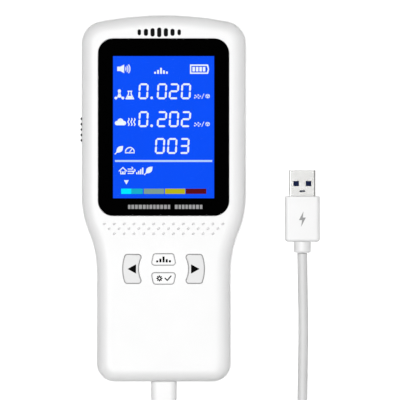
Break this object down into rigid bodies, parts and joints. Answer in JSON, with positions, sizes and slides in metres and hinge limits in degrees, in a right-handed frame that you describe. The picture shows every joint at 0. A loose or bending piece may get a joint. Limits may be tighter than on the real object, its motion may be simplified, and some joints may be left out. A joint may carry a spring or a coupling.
{
  "type": "air quality monitor",
  "caption": "Handheld air quality monitor lying on its back: colour-lit screen in a black window, arrow and menu keys, vents, and a USB charging lead plugged in and coiled.",
  "frame": {"origin": "on the back face, under the middle of the monitor's outline", "axes": "+Z out of the face, +Y from the grip to the head, +X to the right as a user sees the face"},
  "size_m": [0.1102, 0.2504, 0.0278],
  "materials": {
    "housing_white": "fine satin moulded ABS",
    "tape_black": "foam tape",
    "window_black": "black print behind the window",
    "window_clear": "clear hard-coated acrylic",
    "display_blue": "lit blue liquid-crystal display",
    "light_guide": "milky light guide",
    "frame_ivory": "moulded",
    "ribbon_amber": "polyimide film",
    "socket_ivory": "moulded nylon",
    "key_grey": "satin",
    "key_white": "satin",
    "plunger_black": "moulded",
    "part_steel": "tinned",
    "mesh_steel": "woven",
    "board_green": "solder mask on glass fibre",
    "chip_black": "moulded epoxy",
    "cell_grey": "moulded",
    "membrane_white": "porous film",
    "filter_black": "open-cell foam",
    "slide_dark": "satin",
    "screw_steel": "zinc plated",
    "cell_silver": "laminated pouch",
    "pad_grey": "foam",
    "wire_red": "insulated",
    "wire_black": "insulated",
    "port_steel": "nickel plated",
    "lead_white": "soft moulded",
    "cord_white": "satin jacket",
    "tie_white": "hook and loop strap",
    "tongue_blue": "moulded",
    "contact_gold": "gold plated"
  },
  "bodies": {
    "monitor": {"battery_cell": "cell_silver", "battery_guard": "ribbon_amber", "battery_pad": "pad_grey", "battery_plug": "socket_ivory", "battery_socket": "socket_ivory", "battery_wire_black": "wire_black", "battery_wire_red": "wire_red", "board_parts": "chip_black", "board_screws": "screw_steel", "buzzer": "plunger_black", "case_screws": "screw_steel", "cell_membrane": "membrane_white", "charger_screws": "screw_steel", "charging_board": "board_green", "charging_parts": "chip_black", "display_backlight": "light_guide", "display_frame": "frame_ivory", "display_glass": "display_blue", "display_ribbon": "ribbon_amber", "formaldehyde_cell": "cell_grey", "front_shell": "housing_white", "gas_sensor": "part_steel", "gas_sensor_mesh": "mesh_steel", "key_switches": "part_steel", "main_board": "board_green", "main_chip": "chip_black", "port_shell": "port_steel", "port_tongue": "plunger_black", "power_switch": "part_steel", "rear_shell": "housing_white", "ribbon_socket": "socket_ivory", "vent_filter": "filter_black", "window_lens": "window_clear", "window_mask": "window_black", "window_tape": "tape_black"},
    "left_key": {"key_left": "key_grey", "plunger_left": "plunger_black"},
    "right_key": {"key_right": "key_grey", "plunger_right": "plunger_black"},
    "upper_key": {"key_upper": "key_white", "plunger_upper": "plunger_black"},
    "lower_key": {"key_lower": "key_white", "plunger_lower": "plunger_black"},
    "power_slide_knob": {"power_slide": "slide_dark", "power_lever": "plunger_black"},
    "charging_lead": {"lead_coil": "cord_white", "lead_cord_plug_side": "cord_white", "lead_cord_port_side": "cord_white", "lead_plug_collar": "lead_white", "lead_plug_contacts": "contact_gold", "lead_plug_grip": "lead_white", "lead_plug_shell": "port_steel", "lead_plug_tongue": "tongue_blue", "lead_port_grip": "lead_white", "lead_port_relief": "lead_white", "lead_port_shell": "port_steel", "lead_tie": "tie_white"}
  },
  "joints": [
    {"name": "left_key_press", "type": "slide", "parent": "monitor", "child": "left_key", "axis": [0, 0, -1], "range_m": [0, 0.0005], "stiffness_N_per_m": 800, "springref_m": -0.0002},
    {"name": "right_key_press", "type": "slide", "parent": "monitor", "child": "right_key", "axis": [0, 0, -1], "range_m": [0, 0.0005], "stiffness_N_per_m": 800, "springref_m": -0.0002},
    {"name": "upper_key_press", "type": "slide", "parent": "monitor", "child": "upper_key", "axis": [0, 0, -1], "range_m": [0, 0.0005], "stiffness_N_per_m": 800, "springref_m": -0.0002},
    {"name": "lower_key_press", "type": "slide", "parent": "monitor", "child": "lower_key", "axis": [0, 0, -1], "range_m": [0, 0.0005], "stiffness_N_per_m": 800, "springref_m": -0.0002},
    {"name": "power_slide_travel", "type": "slide", "parent": "monitor", "child": "power_slide_knob", "axis": [0, -1, 0], "range_m": [0, 0.003]},
    {"name": "lead_pull_out", "type": "slide", "parent": "monitor", "child": "charging_lead", "axis": [0, -1, 0], "range_m": [0, 0.012]}
  ]
}
